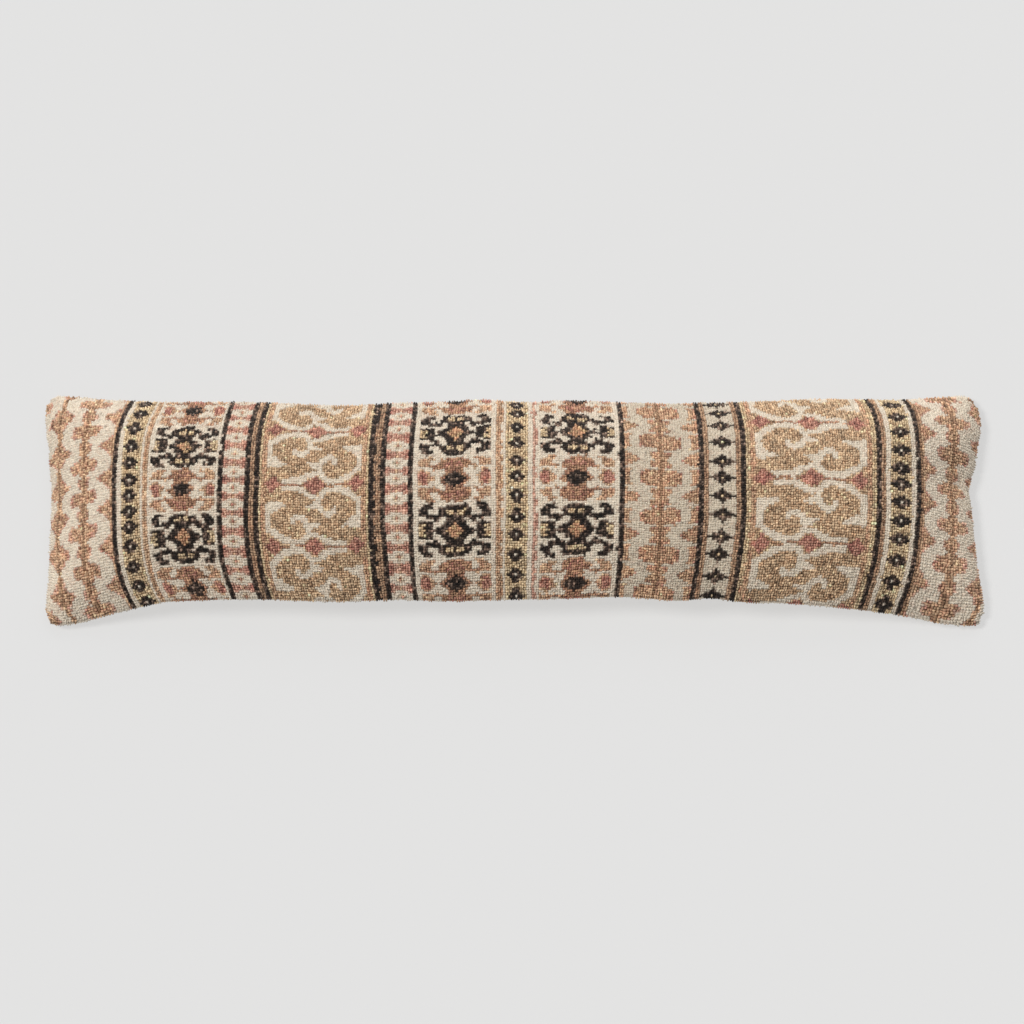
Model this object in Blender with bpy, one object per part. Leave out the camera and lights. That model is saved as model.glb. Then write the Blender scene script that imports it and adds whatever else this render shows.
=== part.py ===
"""A long lumbar pillow: two panels sewn together all round and filled, lying on its back.

Units are metres and +Z is up. X runs along the pillow and Y across it. The origin is on the surface
that the pillow lies on, below the middle of the pillow. The front panel, with the pile, faces up.
"""
from math import radians

import bmesh
import bpy
import numpy as np

# Driving sizes of the filled pillow, pile included.
CROWN_TOP = 0.0960  # highest place of the front panel above the surface
CROWN_POWER = 2.3  # roundness of the crown across the pillow: 2 is a parabola, more is flatter
CORNER_FULLNESS = 1.4  # added to that power at the end seams, which fills the corners
FULLNESS_RUN = 0.150  # how far in from an end seam that fullness dies out
LEFT_RUN = 0.205  # how far in from the left end seam the crown reaches its full height
RIGHT_RUN = 0.240  # the same at the right end, which is filled a little less
END_POWER = 3.1  # how steeply the crown climbs from an end seam
END_SEAM_LIFT = 0.004  # how much higher the middle of an end seam lies than its corners
END_LIFT_RUN = 0.060  # how far in from an end seam that lift dies out
CORNER_HEIGHT = 0.009  # height of the seam at the corners
SEAM_HALF_THICKNESS = 0.004  # half of the blunt edge where the two panels meet
CORNER_ACROSS = 0.1511  # half of the pillow's width at its corners

# Rounding of the corners, by the end (-1 left, 1 right) and the side (-1 towards -Y, 1 towards +Y).
CORNER_RADII = {(-1, -1): 0.016, (-1, 1): 0.018, (1, -1): 0.017, (1, 1): 0.028}

# The underside lies flat on the surface in the middle and lifts towards the seams.
REST_SHARE = 0.45  # share of the half width that lies flat
REST_END_RUN = 0.045  # how far in from an end seam the underside touches down
UNDERSIDE_POWER = 1.6
FLATNESS = 1e-7  # a point this close to the surface lies on it

# The long seams, a row for each place along the pillow: how far the seams lie from the pillow's
# middle line, how far that line itself wanders towards +Y, and how high the seams lie.
LONG_SEAM_COLUMNS = ("along", "half_width", "wander", "height")
LONG_SEAMS = (
    (-0.584, 0.1511, 0.0000, CORNER_HEIGHT),
    (-0.564, 0.1509, 0.0000, 0.010),
    (-0.534, 0.1476, 0.0000, 0.013),
    (-0.509, 0.1424, 0.0000, 0.020),
    (-0.484, 0.1384, 0.0000, 0.027),
    (-0.459, 0.1345, 0.0000, 0.034),
    (-0.435, 0.1314, 0.0000, 0.040),
    (-0.400, 0.1304, 0.0000, 0.044),
    (-0.311, 0.1292, -0.0002, 0.046),
    (-0.224, 0.1286, -0.0040, 0.047),
    (-0.137, 0.1292, -0.0010, 0.047),
    (-0.087, 0.1308, -0.0014, 0.047),
    (-0.038, 0.1316, 0.0007, 0.047),
    (0.012, 0.1294, -0.0002, 0.047),
    (0.061, 0.1300, 0.0013, 0.047),
    (0.136, 0.1276, 0.0010, 0.047),
    (0.210, 0.1292, -0.0018, 0.047),
    (0.235, 0.1284, 0.0000, 0.047),
    (0.285, 0.1315, -0.0012, 0.045),
    (0.334, 0.1331, 0.0000, 0.042),
    (0.384, 0.1361, 0.0000, 0.039),
    (0.433, 0.1386, 0.0000, 0.031),
    (0.483, 0.1424, 0.0000, 0.020),
    (0.533, 0.1494, 0.0000, 0.011),
    (0.557, 0.1511, 0.0000, 0.010),
    (0.584, 0.1511, 0.0000, CORNER_HEIGHT),
)

# The two end seams, a row for each place across the pillow, from the seam at -Y (-1) to the one at
# +Y (1): how far each end seam lies from the pillow's middle.
END_SEAM_COLUMNS = ("across", "left", "right")
END_SEAMS = (
    (-1.00, 0.5820, 0.5830),
    (-0.83, 0.5825, 0.5834),
    (-0.69, 0.5800, 0.5810),
    (-0.49, 0.5782, 0.5747),
    (-0.28, 0.5760, 0.5710),
    (-0.07, 0.5752, 0.5685),
    (0.08, 0.5752, 0.5665),
    (0.17, 0.5756, 0.5648),
    (0.28, 0.5768, 0.5688),
    (0.41, 0.5782, 0.5737),
    (0.55, 0.5797, 0.5765),
    (0.73, 0.5830, 0.5795),
    (0.84, 0.5834, 0.5790),
    (1.00, 0.5815, 0.5770),
)

FOLD_FADE = 0.012  # how far in from a seam the hollows and swells below reach their full height

# Soft hollows (negative) and swells of the front panel: where each one's middle is, its heading from
# +X, half its run along that heading, half its width across it, and its height.
FOLD_COLUMNS = ("along", "across", "heading", "half_run", "half_width", "height")
FOLDS = (
    (0.548, 0.040, 128.0, 0.034, 0.0090, -0.0060),
    (0.556, 0.088, 100.0, 0.030, 0.0200, 0.0050),
    (0.537, -0.020, 100.0, 0.050, 0.0120, -0.0020),
    (0.548, -0.105, 60.0, 0.032, 0.0200, 0.0035),
    (-0.551, -0.112, 115.0, 0.030, 0.0200, 0.0035),
    (-0.555, 0.100, 75.0, 0.030, 0.0200, 0.0025),
    (0.225, 0.105, 85.0, 0.035, 0.0160, -0.0025),
    (-0.224, 0.108, 95.0, 0.030, 0.0150, -0.0025),
    (-0.230, -0.104, 88.0, 0.030, 0.0150, -0.0020),
    (0.132, -0.106, 92.0, 0.030, 0.0140, -0.0022),
)

# How the solid is divided.
STATIONS = 60
PLACES_ACROSS = 28
STATION_CROWDING = 0.72  # 0 spaces the stations evenly, more crowds them towards the ends
SHARP_ANGLE = radians(50)  # edges turning more than this stay crisp, as the seam's two rims do
CORNER_REACH = radians(45)  # each of a corner's two edges is rounded up to the middle of its arc

# The cloth's plain colour where the pile is not drawn in detail.
WOOL_COLOUR = (0.52, 0.38, 0.27, 1.0)
WOOL_ROUGHNESS = 0.95


def column(table, columns, name):
    """One named column of a table, as an array."""
    return np.array([row[columns.index(name)] for row in table])


def smooth_through(places, values, wanted):
    """A smooth curve through the values at the places, read at the wanted places."""
    slopes = np.gradient(values, places)
    wanted = np.clip(wanted, places[0], places[-1])
    left = np.clip(np.searchsorted(places, wanted, side="right") - 1, 0, len(places) - 2)
    gap = places[left + 1] - places[left]
    way = (wanted - places[left]) / gap
    rise = values[left + 1] - values[left]
    turn_in = slopes[left] * gap - rise
    turn_out = rise - slopes[left + 1] * gap
    return values[left] + way * rise + way * (1 - way) * ((1 - way) * turn_in + way * turn_out)


def long_seam(name, along):
    """A column of the long seams' table at places along the pillow."""
    places = column(LONG_SEAMS, LONG_SEAM_COLUMNS, "along")
    return smooth_through(places, column(LONG_SEAMS, LONG_SEAM_COLUMNS, name), along)


def end_seam(name, across):
    """A column of the end seams' table at places across the pillow."""
    places = column(END_SEAMS, END_SEAM_COLUMNS, "across")
    return smooth_through(places, column(END_SEAMS, END_SEAM_COLUMNS, name), across)


def corner_radius(lengthwise, across):
    """Rounding of the corner that each place is nearest to."""
    radius = np.zeros_like(lengthwise)
    for (end, side), size in CORNER_RADII.items():
        radius = np.where((np.sign(lengthwise) == end) & (np.sign(across) == side), size, radius)
    return radius


def corner_cut(past, radius):
    """How far a rounded corner draws an edge in, for a place that far past the rounding's start."""
    past = np.clip(past, 0.0, radius * np.sin(CORNER_REACH))
    return radius - np.sqrt(radius**2 - past**2)


def plan(lengthwise, across):
    """Where the front panel's grid lies in plan, with each place's distance from its end seam."""
    reach = np.where(lengthwise < 0, end_seam("left", across), end_seam("right", across))
    radius = corner_radius(lengthwise, across)
    end = reach - corner_cut((np.abs(across) - 1) * CORNER_ACROSS + radius, radius)
    along = lengthwise * end
    half_width = long_seam("half_width", along)
    half_width = half_width - corner_cut(np.abs(along) - reach + radius, radius)
    side = across * half_width + long_seam("wander", along)
    return along, side, end - np.abs(along)


def crown_share(across, from_end):
    """1 on the middle line of the pillow, falling to 0 at the long seams."""
    near_end = np.clip(1 - from_end / FULLNESS_RUN, 0, 1)
    return 1 - np.abs(across) ** (CROWN_POWER + CORNER_FULLNESS * near_end)


def seam_height(along, across, from_end):
    """Height of the seams' middle, carried across the whole panel."""
    near_end = np.clip(1 - from_end / END_LIFT_RUN, 0, 1) ** 2
    return long_seam("height", along) + END_SEAM_LIFT * crown_share(across, from_end) * near_end


def fold_height(along, side):
    """Sum of the hollows and swells at places in plan."""
    total = np.zeros_like(along)
    for row in FOLDS:
        fold = dict(zip(FOLD_COLUMNS, row))
        heading = radians(fold["heading"])
        ahead = (along - fold["along"]) * np.cos(heading) + (side - fold["across"]) * np.sin(heading)
        beside = (side - fold["across"]) * np.cos(heading) - (along - fold["along"]) * np.sin(heading)
        spread = (ahead / fold["half_run"]) ** 2 + (beside / fold["half_width"]) ** 2
        total += fold["height"] * np.exp(-spread)
    return total


def front_height(along, side, across, from_end):
    """Height of the front panel."""
    run = np.where(along < 0, LEFT_RUN, RIGHT_RUN)
    climb = 1 - np.clip(1 - from_end / run, 0, 1) ** END_POWER
    end_height = CORNER_HEIGHT + END_SEAM_LIFT
    middle_line = end_height + (CROWN_TOP - SEAM_HALF_THICKNESS - end_height) * climb
    sides = long_seam("height", along)
    crown = np.maximum(middle_line - sides, 0) * crown_share(across, from_end)
    filled = np.maximum(sides + crown, seam_height(along, across, from_end))
    from_seams = np.minimum(from_end / FOLD_FADE, (1 - np.abs(across)) * CORNER_ACROSS / FOLD_FADE)
    return filled + SEAM_HALF_THICKNESS + np.clip(from_seams, 0, 1) * fold_height(along, side)


def back_height(along, across, from_end):
    """Height of the back panel: flat on the surface in the middle, lifting to the seams."""
    lift_side = np.clip((np.abs(across) - REST_SHARE) / (1 - REST_SHARE), 0, 1) ** UNDERSIDE_POWER
    lift_end = np.clip(1 - from_end / REST_END_RUN, 0, 1) ** UNDERSIDE_POWER
    lift = 1 - (1 - lift_side) * (1 - lift_end)
    return (seam_height(along, across, from_end) - SEAM_HALF_THICKNESS) * lift


def grid_places():
    """The grid's places along and across the pillow, each from -1 to 1."""
    even = np.linspace(-1, 1, STATIONS + 1)
    crowded = np.sin(even * radians(90))
    lengthwise = even + STATION_CROWDING * (crowded - even)
    return np.meshgrid(lengthwise, np.linspace(-1, 1, PLACES_ACROSS + 1), indexing="ij")


def panel_faces(mesh, points, faces_up):
    """Add one panel's faces between its grid of points."""
    for i in range(STATIONS):
        for j in range(PLACES_ACROSS):
            corners = [points[i][j], points[i + 1][j], points[i + 1][j + 1], points[i][j + 1]]
            mesh.faces.new(corners if faces_up else corners[::-1])


def outline(points):
    """The grid's border points in order, anticlockwise seen from above."""
    low_side = [points[i][0] for i in range(STATIONS)]
    right_end = [points[STATIONS][j] for j in range(PLACES_ACROSS)]
    high_side = [points[i][PLACES_ACROSS] for i in range(STATIONS, 0, -1)]
    left_end = [points[0][j] for j in range(PLACES_ACROSS, 0, -1)]
    return low_side + right_end + high_side + left_end


def flatten_rest(mesh):
    """Join the flat faces that lie on the surface into one face."""
    resting = [face for face in mesh.faces if all(abs(v.co.z) < FLATNESS for v in face.verts)]
    bmesh.ops.dissolve_faces(mesh, faces=resting, use_verts=True)


def make_wool():
    """Undyed and madder-dyed wool, seen from a few steps away."""
    wool = bpy.data.materials.new("wool pile")
    wool.use_nodes = True
    surface = wool.node_tree.nodes["Principled BSDF"]
    surface.inputs["Base Color"].default_value = WOOL_COLOUR
    surface.inputs["Roughness"].default_value = WOOL_ROUGHNESS
    surface.inputs["Metallic"].default_value = 0.0
    return wool


def make_pillow():
    """The filled cover as one closed solid."""
    lengthwise, across = grid_places()
    along, side, from_end = plan(lengthwise, across)
    front = front_height(along, side, across, from_end)
    back = back_height(along, across, from_end)

    mesh = bmesh.new()
    rows = range(STATIONS + 1)
    places = range(PLACES_ACROSS + 1)
    front_points = [[mesh.verts.new((along[i, j], side[i, j], front[i, j])) for j in places] for i in rows]
    back_points = [[mesh.verts.new((along[i, j], side[i, j], back[i, j])) for j in places] for i in rows]
    panel_faces(mesh, front_points, faces_up=True)
    panel_faces(mesh, back_points, faces_up=False)

    upper = outline(front_points)
    lower = outline(back_points)
    for here in range(len(upper)):
        after = (here + 1) % len(upper)
        mesh.faces.new([lower[here], lower[after], upper[after], upper[here]])
    flatten_rest(mesh)

    data = bpy.data.meshes.new("pillow")
    mesh.to_mesh(data)
    mesh.free()
    data.shade_smooth()
    data.set_sharp_from_angle(angle=SHARP_ANGLE)
    data.materials.append(make_wool())
    pillow = bpy.data.objects.new("pillow", data)
    bpy.context.collection.objects.link(pillow)
    return pillow


def main():
    for thing in list(bpy.data.objects):
        bpy.data.objects.remove(thing, do_unlink=True)
    make_pillow()


main()
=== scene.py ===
"""A long lumbar pillow in looped wool, lying on its back on a pale floor.

Units are metres, +Z is up and X runs along the pillow. Places on the cloth are counted in loops of
yarn: columns run along X from the pillow's middle, and rows run towards +Y from the lower seam.
"""
from math import cos, pi, radians, sin

import bpy
import numpy as np
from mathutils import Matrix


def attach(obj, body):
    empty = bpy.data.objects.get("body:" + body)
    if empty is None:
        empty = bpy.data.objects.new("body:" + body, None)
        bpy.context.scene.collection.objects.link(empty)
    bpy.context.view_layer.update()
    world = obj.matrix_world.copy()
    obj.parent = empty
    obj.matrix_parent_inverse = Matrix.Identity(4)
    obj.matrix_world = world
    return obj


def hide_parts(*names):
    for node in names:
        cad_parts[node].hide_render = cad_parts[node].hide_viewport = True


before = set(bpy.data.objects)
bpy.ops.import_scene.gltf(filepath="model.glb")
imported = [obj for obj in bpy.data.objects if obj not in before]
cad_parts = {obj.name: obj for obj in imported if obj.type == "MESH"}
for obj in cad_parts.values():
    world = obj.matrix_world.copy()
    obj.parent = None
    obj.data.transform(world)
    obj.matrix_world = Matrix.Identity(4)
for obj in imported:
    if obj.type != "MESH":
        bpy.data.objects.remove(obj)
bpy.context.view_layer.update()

# Camera: a long lens, tipped from straight above, seen from the lower seam's side.
PHOTO_SIZE = 1024  # pixels, both ways
PIXEL = 0.00124  # what one pixel covers at the pillow
TILT = radians(20)  # of the view, from straight down
CAMERA_DISTANCE = 10.0
SENSOR = 0.036
MILLIMETRES = 1000  # in a metre, because lenses are given in them
PILLOW_PIXEL = (514.5, 513.5)  # where the origin shows
VIEW_HEIGHT = 0.045  # height above the floor at which a pixel covers its size

# The filled pillow, pile included.
CROWN_TOP = 0.0960  # highest place of the front panel above the floor
CROWN_POWER = 2.3  # roundness of the crown across the pillow: 2 is a parabola, more is flatter
CORNER_FULLNESS = 1.4  # added to that power at the end seams, which fills the corners
FULLNESS_RUN = 0.150  # how far in from an end seam that fullness dies out
LEFT_RUN = 0.205  # how far in from the left end seam the crown reaches its full height
RIGHT_RUN = 0.240  # the same at the right end, which is filled a little less
END_POWER = 3.1  # how steeply the crown climbs from an end seam
END_SEAM_LIFT = 0.004  # how much higher the middle of an end seam lies than its corners
END_LIFT_RUN = 0.060  # how far in from an end seam that lift dies out
CORNER_HEIGHT = 0.009  # height of the seam at the corners
SEAM_HALF_THICKNESS = 0.004  # half of the rounded edge where the two panels meet
CORNER_ACROSS = 0.1511  # half of the pillow's width at its corners
CORNER_REACH = radians(45)  # each of a corner's two edges is rounded up to the middle of its arc

# Rounding of the corners, by the end (-1 left, 1 right) and the side (-1 towards -Y, 1 towards +Y).
CORNER_RADII = {(-1, -1): 0.016, (-1, 1): 0.013, (1, -1): 0.016, (1, 1): 0.019}

# The underside lies flat on the floor in the middle and lifts towards the seams.
REST_SHARE = 0.45  # share of the half width that lies flat
REST_END_RUN = 0.045  # how far in from an end seam the underside touches down
UNDERSIDE_POWER = 1.6

# The long seams, a row for each place along the pillow: how far the seams lie from the pillow's
# middle line, how far that line itself wanders towards +Y, and how high the seams lie.
LONG_SEAM_COLUMNS = ("along", "half_width", "wander", "height")
LONG_SEAMS = (
    (-0.584, 0.1511, 0.0000, CORNER_HEIGHT),
    (-0.564, 0.1509, 0.0000, 0.010),
    (-0.534, 0.1476, 0.0000, 0.013),
    (-0.509, 0.1424, 0.0000, 0.020),
    (-0.484, 0.1384, 0.0000, 0.027),
    (-0.459, 0.1345, 0.0000, 0.034),
    (-0.435, 0.1314, 0.0000, 0.040),
    (-0.400, 0.1304, 0.0000, 0.044),
    (-0.311, 0.1292, -0.0002, 0.046),
    (-0.224, 0.1286, -0.0040, 0.047),
    (-0.137, 0.1292, -0.0010, 0.047),
    (-0.087, 0.1308, -0.0014, 0.047),
    (-0.038, 0.1316, 0.0007, 0.047),
    (0.012, 0.1294, -0.0002, 0.047),
    (0.061, 0.1300, 0.0013, 0.047),
    (0.136, 0.1276, 0.0010, 0.047),
    (0.210, 0.1292, -0.0018, 0.047),
    (0.235, 0.1284, 0.0000, 0.047),
    (0.285, 0.1315, -0.0012, 0.045),
    (0.334, 0.1331, 0.0000, 0.042),
    (0.384, 0.1361, 0.0000, 0.039),
    (0.433, 0.1386, 0.0000, 0.031),
    (0.483, 0.1424, 0.0000, 0.020),
    (0.533, 0.1494, 0.0000, 0.011),
    (0.557, 0.1511, 0.0000, 0.010),
    (0.584, 0.1511, 0.0000, CORNER_HEIGHT),
)

# The two end seams, a row for each place across the pillow, from the seam at -Y (-1) to the one at
# +Y (1): how far each end seam lies from the pillow's middle.
END_SEAM_COLUMNS = ("across", "left", "right")
END_SEAMS = (
    (-1.00, 0.5795, 0.5808),
    (-0.83, 0.5796, 0.5812),
    (-0.69, 0.5778, 0.5778),
    (-0.49, 0.5764, 0.5735),
    (-0.28, 0.5760, 0.5710),
    (-0.07, 0.5752, 0.5685),
    (0.08, 0.5752, 0.5665),
    (0.17, 0.5756, 0.5648),
    (0.28, 0.5768, 0.5688),
    (0.41, 0.5782, 0.5737),
    (0.55, 0.5797, 0.5765),
    (0.73, 0.5838, 0.5815),
    (0.84, 0.5848, 0.5813),
    (1.00, 0.5831, 0.5784),
)

FOLD_FADE = 0.012  # how far in from a seam the hollows and swells below reach their full height

# Soft hollows (negative) and swells of the front panel: where each one's middle is, its heading from
# +X, half its run along that heading, half its width across it, and its height.
FOLD_COLUMNS = ("along", "across", "heading", "half_run", "half_width", "height")
FOLDS = (
    (0.548, 0.040, 128.0, 0.034, 0.0090, -0.0060),
    (0.556, 0.088, 100.0, 0.030, 0.0200, 0.0050),
    (0.537, -0.020, 100.0, 0.050, 0.0120, -0.0020),
    (0.548, -0.105, 60.0, 0.032, 0.0200, 0.0035),
    (-0.551, -0.112, 115.0, 0.030, 0.0200, 0.0035),
    (-0.555, 0.100, 75.0, 0.030, 0.0200, 0.0025),
    (0.225, 0.105, 85.0, 0.035, 0.0160, -0.0025),
    (-0.224, 0.108, 95.0, 0.030, 0.0150, -0.0025),
    (-0.230, -0.104, 88.0, 0.030, 0.0150, -0.0020),
    (0.132, -0.106, 92.0, 0.030, 0.0140, -0.0022),
)

# The looped cloth.
PITCH = 0.00307  # from one loop to the next along the pillow; across it, the rows share the width evenly
FIRST_COLUMN = -196  # at the left end seam
COLUMNS = 388
ROWS = 92
POINTS_PER_LOOP = 3  # points of the mesh along each side of a loop
ROWS_ON_TOP = 91.0  # rows on the front panel, from rim to rim
RIM_RADIUS = SEAM_HALF_THICKNESS
RIM_LOOPS = (pi / 2 - 1) * RIM_RADIUS / PITCH  # loops more than the straight way, over a rounded rim

# The cloth's columns bow towards the pillow's middle as they near the long seams. For each end (-1
# left) and long seam (-1 lower): the bow at the seam, as a share of a column's distance from the
# middle, and how suddenly it comes.
BOWS = {(-1, -1): (0.0515, 3.2), (-1, 1): (0.0395, 2.25), (1, -1): (0.0555, 2.1), (1, 1): (0.0315, 3.5)}
BOW_FADE_START = 0.496  # the loops run on to the end seams from here, while the pattern keeps its bow
BOW_FADE_END = 0.575
BOW_ROUNDS = 3  # rounds that settle a place's column and row, because each depends on the other

# Loops.
GROUND_DEPTH = 0.0017  # how deep the ground between the loops lies under the filled shape's surface
LOOP_HEIGHT = 0.0023
SEAM_FULLNESS = 0.0009  # how much further the loops stand out where they turn over the seam
LOOP_UNEVENNESS = 0.22  # share of the height that one loop may differ from the next
OWN_UNEVENNESS = 0.8  # how much of that each loop has to itself
SHARED_UNEVENNESS = 0.4  # and how much it shares with the loops around it
SHARED_CELL = 3.0  # how many loops across such a patch is
LOOP_HEIGHTS = (0.4, 1.5)  # the lowest and highest that this makes a loop, as shares of the height
LOW_LOOPS = 0.05  # share of the loops that are pulled low
LOW_LOOP_HEIGHT = 0.45  # share of the height that these keep
LOOP_LEAN = 0.26  # share of the height that one side of a loop may stand over the other
LOOP_SHOULDER = 0.24  # where a loop's shoulder stands, from its edge, in loops
LOOP_SHIFT = 0.27  # how far a loop may sit out of line, in loops
LOOP_SKEW = 0.14  # how far one point of a loop may stand out of its place, in loops
SHIFT_MARGIN = 2  # within so many loops of the cloth's edge, loops keep more and more to their places
VALLEY_RISE = 0.24  # how far the ground between two loops rises over that between four
VALLEY_UNEVENNESS = 0.32
CLOTH_DRIFT = 0.45  # how far the rows and columns wander, in loops
CLOTH_DRIFT_CELL = 17.0
CLOTH_DRIFT_MARGIN = 6  # within so many loops of the cloth's edge, they wander less and less

# The pattern's own unevenness, in loops: edges of colour step in and out by a loop here and there.
MOTIF_RAGGEDNESS = 0.30
BAND_RAGGEDNESS = 0.14
RAGGED_CELL = 1.7
MOTIF_DRIFT = 0.35
MOTIF_DRIFT_CELL = 13.0
NEAT_KINDS = ("gold_diamonds", "cream_diamonds", "rosettes")  # small motifs that keep to whole loops

# Wools, by the letter that stands for each in the charts: the main shade, a second shade that some
# loops have, the share of loops that have it, how unevenly both are dyed, and how much painted shade
# darkens the wool between its loops (0 is not at all).
WOOL_COLUMNS = ("letter", "main", "second", "share", "unevenness", "depth")
WOOLS = (
    (".", (0.715, 0.630, 0.515), (0.680, 0.568, 0.460), 0.25, 0.05, 0.10),
    ("c", (0.620, 0.540, 0.430), (0.585, 0.482, 0.382), 0.25, 0.05, 0.12),
    # the dark wool's paler second shade is partly painted highlight, standing in for the sheen on its loops,
    # and partly browner yarn
    ("K", (0.028, 0.017, 0.012), (0.175, 0.120, 0.090), 0.34, 0.45, 0.60),
    ("g", (0.760, 0.585, 0.370), (0.590, 0.420, 0.250), 0.35, 0.20, 1.45),
    ("t", (0.710, 0.505, 0.320), (0.555, 0.360, 0.215), 0.42, 0.19, 1.50),
    ("b", (0.690, 0.460, 0.290), (0.585, 0.340, 0.215), 0.40, 0.19, 1.35),
    ("r", (0.600, 0.340, 0.200), (0.600, 0.410, 0.230), 0.35, 0.20, 1.20),
    ("p", (0.580, 0.300, 0.220), (0.410, 0.175, 0.135), 0.34, 0.18, 1.05),
    ("m", (0.530, 0.310, 0.188), (0.415, 0.212, 0.138), 0.42, 0.19, 1.25),
    ("q", (0.680, 0.430, 0.320), (0.570, 0.305, 0.228), 0.40, 0.17, 1.05),
    ("w", (0.680, 0.470, 0.305), (0.560, 0.330, 0.200), 0.40, 0.17, 1.15),
    ("n", (0.520, 0.340, 0.215), (0.400, 0.230, 0.140), 0.40, 0.20, 1.30),
    ("s", (0.400, 0.245, 0.145), (0.340, 0.195, 0.115), 0.35, 0.15, 1.00),
    ("o", (0.700, 0.560, 0.390), (0.690, 0.500, 0.350), 0.40, 0.14, 1.00),
)
SHADE_RUN = 1.6  # how many loops in a row tend to share a shade
SHADE_RUN_UP = 0.8  # a row counts as this much of a loop there, so that runs are longer up the cloth
SHADE_BY_RUN = 0.15  # how much its run decides which shade a loop has
SHADE_BY_LOOP = 0.48  # and how much is chance
DYE_PATCHES = ((5.0, 23), (19.0, 24))  # patches of uneven dye: how many loops across, and their seed
DYE_PATCHINESS = 0.3  # how much each kind of patch adds to a loop's own unevenness
DYE_LIMITS = (0.004, 0.93)  # the darkest and the palest that wool may be
PAINTED_SHADE_POWER = 1.6  # painted shade: how much deeper in colour a wool of depth 1 is between its loops
PAINTED_SHADE_LOSS = 0.52  # and how much of its light the painted shade takes there
TOP_SHADE_FROM = 0.85  # share of a loop's height from which it has its full colour; below it, painted shade comes in

# Rows where the middles of the trees at each end lie.
LEFT_TREE_ROWS = (2.8, 18.5, 33.0, 45.6, 57.2, 71.4, 86.5)
RIGHT_TREE_ROWS = (5.0, 22.3, 37.0, 50.3, 63.4, 77.0, 90.0)

# Bands of the cloth from the left end seam to the right one. Each starts at a column and runs to the
# next one's start. A band of motifs gives the rows where its motifs' middles lie. Where these slant,
# the last figures say how far each rises from the band's left edge to its right one.
BAND_COLUMNS = ("start", "kind", "middles", "slants")
BANDS = (
    (-218.6, "end_trees", LEFT_TREE_ROWS, ()),
    (-190.7, "end_trees", LEFT_TREE_ROWS, ()),
    (-162.9, "dark", (), ()),
    (-160.8, "cream", (), ()),
    (-159.4, "gold_diamonds",
     (1.0, 8.0, 16.3, 24.0, 31.0, 37.8, 43.7, 49.8, 56.0, 63.7, 72.5, 81.0, 88.5), ()),
    (-151.0, "cream", (), ()),
    (-149.7, "stripe", (), ()),
    (-147.8, "cream", (), ()),
    (-146.5, "medallions", (5.0, 25.5, 44.8, 64.2, 84.5), ()),
    (-120.9, "cream", (), ()),
    (-119.6, "dark", (), ()),
    (-117.8, "rosettes", (1.3, 8.3, 15.8, 23.4, 31.0, 38.2, 45.0, 52.4, 60.0, 68.0, 76.4, 83.8, 91.0), ()),
    (-109.3, "dark", (), ()),
    (-107.2, "brown_stripe", (), ()),
    (-105.3, "dark", (), ()),
    (-103.2, "scrolls", (22.3, 48.0, 73.6), (1.3, 1.5, 0.4)),
    (-58.6, "dark", (), ()),
    (-56.5, "brown_stripe", (), ()),
    (-54.4, "dark", (), ()),
    (-52.1, "rosettes", (1.0, 8.7, 17.0, 25.0, 33.4, 41.5, 49.3, 56.5, 64.6, 73.3, 81.8, 89.0), ()),
    (-43.2, "dark", (), ()),
    (-41.1, "cream", (), ()),
    (-39.0, "medallions", (7.5, 28.6, 50.0, 71.0, 91.5), ()),
    (-9.6, "cream", (), ()),
    (-7.7, "stripe", (), ()),
    (-5.5, "cream", (), ()),
    (-3.9, "gold_diamonds", (1.5, 10.0, 18.3, 26.0, 33.8, 42.0, 50.0, 57.5, 65.4, 74.2, 82.0, 88.3), ()),
    (4.8, "cream", (), ()),
    (6.6, "rose_stripe", (), ()),
    (8.5, "cream", (), ()),
    (10.2, "medallions", (6.8, 28.2, 50.0, 71.2, 92.0), ()),
    (39.8, "cream", (), ()),
    (41.6, "dark", (), ()),
    (43.7, "trees", (2.2, 18.6, 34.2, 50.4, 67.0, 84.0), ()),
    (73.6, "dark", (), ()),
    (76.0, "brown_stripe", (), ()),
    (78.2, "cream_diamonds", (1.5, 9.5, 18.0, 25.6, 34.0, 42.8, 50.5, 57.6, 66.0, 75.5, 83.4, 89.5), ()),
    (88.8, "brown_stripe", (), ()),
    (90.7, "dark", (), ()),
    (93.2, "scrolls", (24.0, 49.6, 75.6), (0.0, -1.0, -3.6)),
    (145.6, "dark", (), ()),
    (147.7, "brown_stripe", (), ()),
    (149.8, "cream", (), ()),
    (151.6, "gold_diamonds", (3.5, 12.0, 20.5, 28.0, 35.3, 42.0, 49.0, 55.2, 62.0, 70.3, 78.8, 86.4), ()),
    (161.4, "cream", (), ()),
    (163.4, "dark", (), ()),
    (165.4, "end_trees", RIGHT_TREE_ROWS, ()),
    (195.6, "end_trees", RIGHT_TREE_ROWS, ()),
)
LAST_COLUMN = 230  # where the last band ends

# Charts hold one quarter of a motif. Their first line is its middle row, their first letter its
# middle column, and the rest is mirrored.
DARK_MEDALLION = (
    "rrrrKKKKKKKKggg",
    "rrrKKKKK.KKKKgg",
    "rrKKKK...KKKggg",
    "rKKKK....KKKKKK",
    "KKKK...KK......",
    "KKKK..KKKKKK...",
    "KKKKKKKKKKKKKKK",
    "KgggKKK....KKKK",
    "KgggKKK....KKKK",
    "KKKKKK...KKKKK.",
    "KKKK.....KKKK..",
)
BROWN_MEDALLION = (
    "KKKKKmm.bbbpppp",
    "KKKKmm...bbpppp",
    "KKKmm.....bpppb",
    "Kmmm.......bbb.",
    "mmmm....b......",
    "mmmmmmmmmmmbbbb",
    "mpmpmmm...bbbbb",
    "mmpmmmm...bbbbb",
    "mpmmmm...bbbbb.",
    "mmmm....bbbb...",
    "...............",
)
DIAMOND = (
    ".KKK",
    "KKK ",
    "KK  ",
)
SPIKED_DIAMOND = (
    "gKKKKK",
    "KKKK  ",
    "KK    ",
    "K     ",
)
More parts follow.
